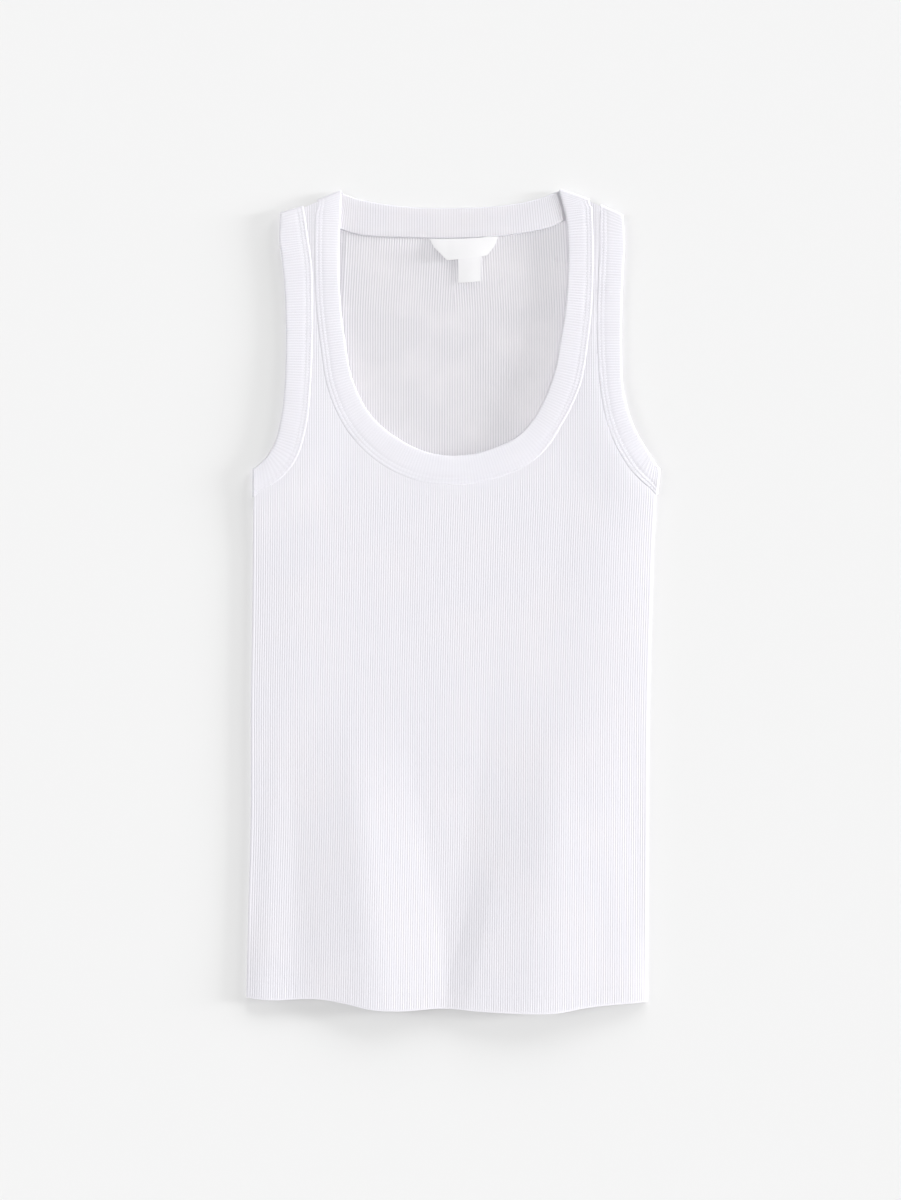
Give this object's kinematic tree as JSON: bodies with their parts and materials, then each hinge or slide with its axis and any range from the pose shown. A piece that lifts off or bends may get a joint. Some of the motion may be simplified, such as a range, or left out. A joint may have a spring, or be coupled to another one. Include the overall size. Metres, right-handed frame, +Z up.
{
  "type": "tank top",
  "caption": "Ribbed sleeveless top with broad straps, a deep round front neck, a high back neck and folded rib bands, laid flat face up.",
  "frame": {"origin": "middle of the garment's box, on the surface that it lies on", "axes": "+Z up from that surface, +Y from the hem to the neck, +X to the right as one looks at the front"},
  "size_m": [0.3314, 0.659, 0.0073],
  "materials": {
    "front_panel": "off-white ribbed cotton jersey, matt",
    "back_panel": "off-white ribbed cotton jersey, matt",
    "neckband": "off-white folded rib band, matt",
    "armhole_band_left": "off-white folded rib band, matt",
    "armhole_band_right": "off-white folded rib band, matt",
    "neck_label": "white woven satin label, bare",
    "size_tab": "white woven satin tab, bare"
  },
  "bodies": {
    "root": {"front_panel": "front_panel", "back_panel": "back_panel", "neckband": "neckband", "armhole_band_left": "armhole_band_left", "armhole_band_right": "armhole_band_right", "neck_label": "neck_label", "size_tab": "size_tab"}
  },
  "joints": []
}
